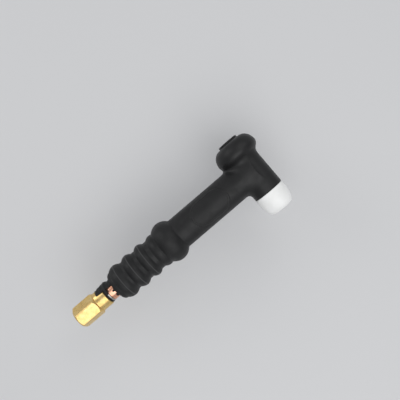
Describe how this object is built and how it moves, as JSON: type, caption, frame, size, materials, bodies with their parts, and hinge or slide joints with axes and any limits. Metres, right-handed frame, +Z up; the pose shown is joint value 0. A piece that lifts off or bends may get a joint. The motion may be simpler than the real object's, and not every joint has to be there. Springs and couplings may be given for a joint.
{
  "type": "tig torch body",
  "caption": "TIG welding torch body with a flexible neck, a T-shaped head with threads for a collet body and a back cap, and a brass cable connector.",
  "frame": {"origin": "on the head's axis, in the plane of the head shell's front face, where the collet body screws in", "axes": "+X along the neck from the cable connector to the head, -Y out of the head's front thread towards the workpiece, +Z up from the surface that the torch lies on"},
  "size_m": [0.1443, 0.0496, 0.0266],
  "materials": {
    "grip_rubber": "satin black silicone rubber",
    "neck_rubber": "satin black silicone rubber",
    "head_moulding": "satin black moulded silicone rubber",
    "boot_rubber": "satin black rubber",
    "seal_rubber": "smooth black rubber",
    "brass": "drawn and turned",
    "core_brass": "turned",
    "copper": "annealed copper, lightly oxidised",
    "silver_braze": "dull silver braze",
    "ptfe": "turned white PTFE"
  },
  "bodies": {
    "grip": {"cable_connector": "brass", "connector_seal": "seal_rubber", "rear_braze_ring": "silver_braze", "tail_tube": "copper", "tail_boot": "boot_rubber", "grip_sleeve": "grip_rubber", "rear_ferrule": "brass"},
    "neck_link_1": {"flex_tube_1": "copper", "neck_sheath_1": "neck_rubber"},
    "neck_link_2": {"flex_tube_2": "copper", "neck_sheath_2": "neck_rubber"},
    "neck_link_3": {"flex_tube_3": "copper", "neck_sheath_3": "neck_rubber"},
    "neck_link_4": {"flex_tube_4": "copper", "neck_sheath_4": "neck_rubber"},
    "neck_link_5": {"flex_tube_5": "copper", "neck_sheath_5": "neck_rubber"},
    "neck_link_6": {"flex_tube_6": "copper", "neck_sheath_6": "neck_rubber"},
    "neck_link_7": {"flex_tube_7": "copper", "neck_sheath_7": "neck_rubber"},
    "head": {"front_ferrule": "brass", "front_braze_ring": "silver_braze", "head_core": "core_brass", "head_shell": "head_moulding", "cup_gasket": "ptfe"}
  },
  "joints": [
    {"name": "neck_bend_1", "type": "hinge", "parent": "grip", "child": "neck_link_1", "pos_m": [-0.0515, 0.0149, 0], "axis": [0, 0, 1], "range_deg": [-10.95, 10.95]},
    {"name": "neck_swing_1", "type": "hinge", "parent": "neck_link_1", "child": "neck_link_2", "pos_m": [-0.0465, 0.0149, 0], "axis": [0, 1, 0], "range_deg": [-10.95, 10.95]},
    {"name": "neck_bend_2", "type": "hinge", "parent": "neck_link_2", "child": "neck_link_3", "pos_m": [-0.0415, 0.0149, 0], "axis": [0, 0, 1], "range_deg": [-10.95, 10.95]},
    {"name": "neck_swing_2", "type": "hinge", "parent": "neck_link_3", "child": "neck_link_4", "pos_m": [-0.0365, 0.0149, 0], "axis": [0, 1, 0], "range_deg": [-10.95, 10.95]},
    {"name": "neck_bend_3", "type": "hinge", "parent": "neck_link_4", "child": "neck_link_5", "pos_m": [-0.0315, 0.0149, 0], "axis": [0, 0, 1], "range_deg": [-10.95, 10.95]},
    {"name": "neck_swing_3", "type": "hinge", "parent": "neck_link_5", "child": "neck_link_6", "pos_m": [-0.0265, 0.0149, 0], "axis": [0, 1, 0], "range_deg": [-10.95, 10.95]},
    {"name": "neck_bend_4", "type": "hinge", "parent": "neck_link_6", "child": "neck_link_7", "pos_m": [-0.0215, 0.0149, 0], "axis": [0, 0, 1], "range_deg": [-10.95, 10.95]},
    {"name": "neck_swing_4", "type": "hinge", "parent": "neck_link_7", "child": "head", "pos_m": [-0.0165, 0.0149, 0], "axis": [0, 1, 0], "range_deg": [-10.95, 10.95]}
  ],
  "couplings": [
    {"joint": "neck_bend_2", "follows": "neck_bend_1", "ratio": 1},
    {"joint": "neck_swing_2", "follows": "neck_swing_1", "ratio": 1},
    {"joint": "neck_bend_3", "follows": "neck_bend_1", "ratio": 1},
    {"joint": "neck_swing_3", "follows": "neck_swing_1", "ratio": 1},
    {"joint": "neck_bend_4", "follows": "neck_bend_1", "ratio": 1},
    {"joint": "neck_swing_4", "follows": "neck_swing_1", "ratio": 1}
  ]
}
